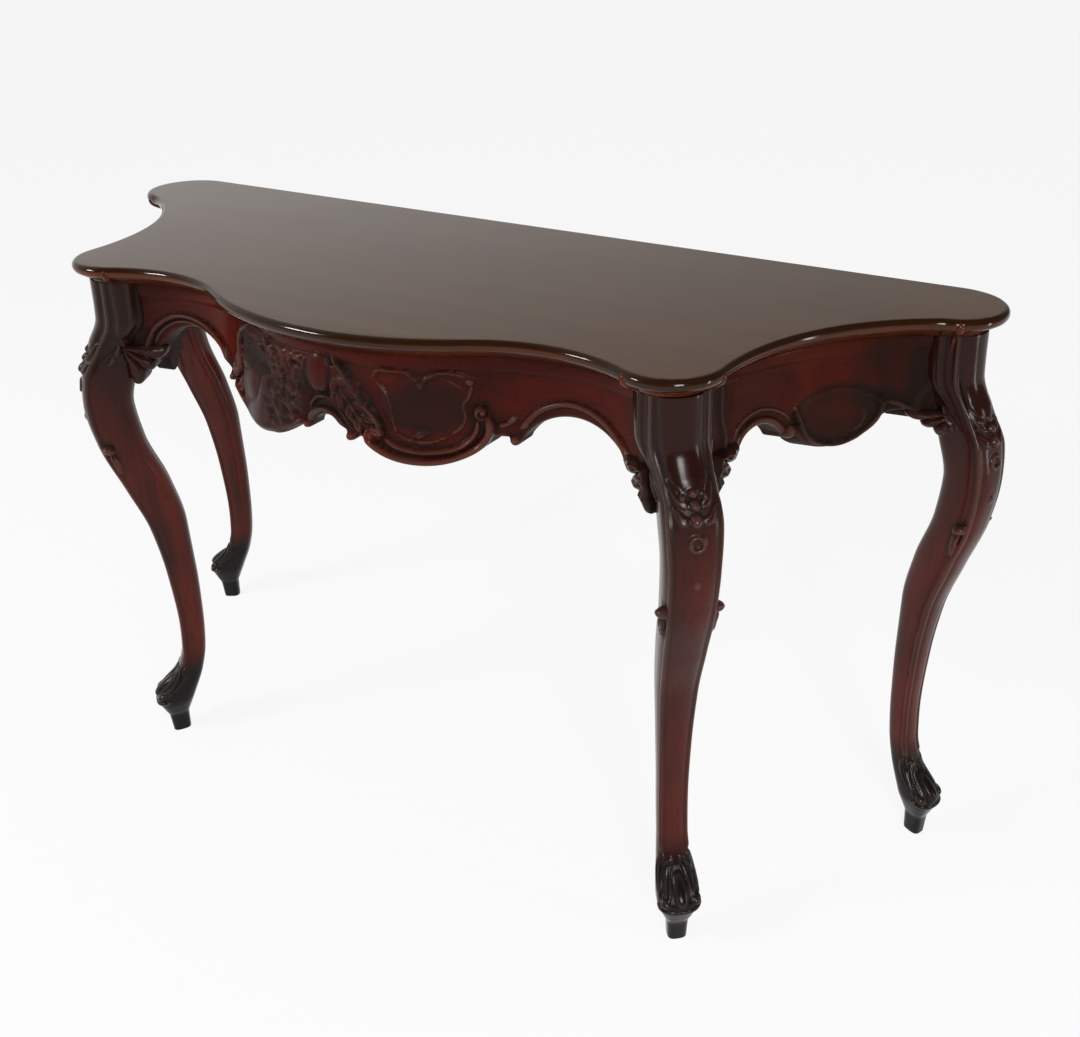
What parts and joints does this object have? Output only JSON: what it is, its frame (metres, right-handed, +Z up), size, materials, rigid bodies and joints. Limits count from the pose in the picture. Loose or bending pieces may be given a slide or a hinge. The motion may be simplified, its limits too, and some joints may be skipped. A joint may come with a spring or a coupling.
{
  "type": "pier table",
  "caption": "Wall-standing pier table with a serpentine top, hollowed sides, a carved front apron and scrolled cabriole legs.",
  "frame": {"origin": "on the floor, under the middle of the bounding box, halfway along the width and the depth of the top", "axes": "+X along the width, to the right as seen from the front; +Y to the back edge that stands at a wall; +Z up"},
  "size_m": [1.4176, 0.5, 0.78],
  "materials": {
    "polished_top": "glossy French polish over dark mahogany",
    "moulding_wood": "glossy dark mahogany",
    "carved_wood": "glossy dark mahogany, darker in the hollows of the carving",
    "apron_wood": "glossy red mahogany",
    "plain_wood": "plain unpolished secondary wood",
    "screw_steel": "dull steel"
  },
  "bodies": {
    "root": {"top_board": "polished_top", "moulding_front": "moulding_wood", "moulding_side_right": "moulding_wood", "moulding_side_left": "moulding_wood", "moulding_front_corner_right": "moulding_wood", "moulding_front_corner_left": "moulding_wood", "moulding_back_corner_right": "moulding_wood", "moulding_back_corner_left": "moulding_wood", "leg_front_right": "carved_wood", "leg_front_left": "carved_wood", "leg_back_right": "carved_wood", "leg_back_left": "carved_wood", "apron_front": "apron_wood", "apron_side_right": "apron_wood", "apron_side_left": "apron_wood", "back_rail": "plain_wood", "bracket_front_right": "carved_wood", "bracket_front_left": "carved_wood", "bracket_side_right": "carved_wood", "bracket_side_left": "carved_wood", "bracket_back_right": "carved_wood", "bracket_back_left": "carved_wood", "carving_shell": "carved_wood", "carving_reserve": "apron_wood", "carving_scroll": "carved_wood", "carving_leaf": "carved_wood", "carving_side_right": "carved_wood", "carving_side_left": "carved_wood", "corner_block_front_right": "plain_wood", "corner_block_front_left": "plain_wood", "corner_block_back_right": "plain_wood", "corner_block_back_left": "plain_wood", "bearer_right": "plain_wood", "bearer_left": "plain_wood", "glue_blocks": "plain_wood", "screws": "screw_steel"}
  },
  "joints": []
}
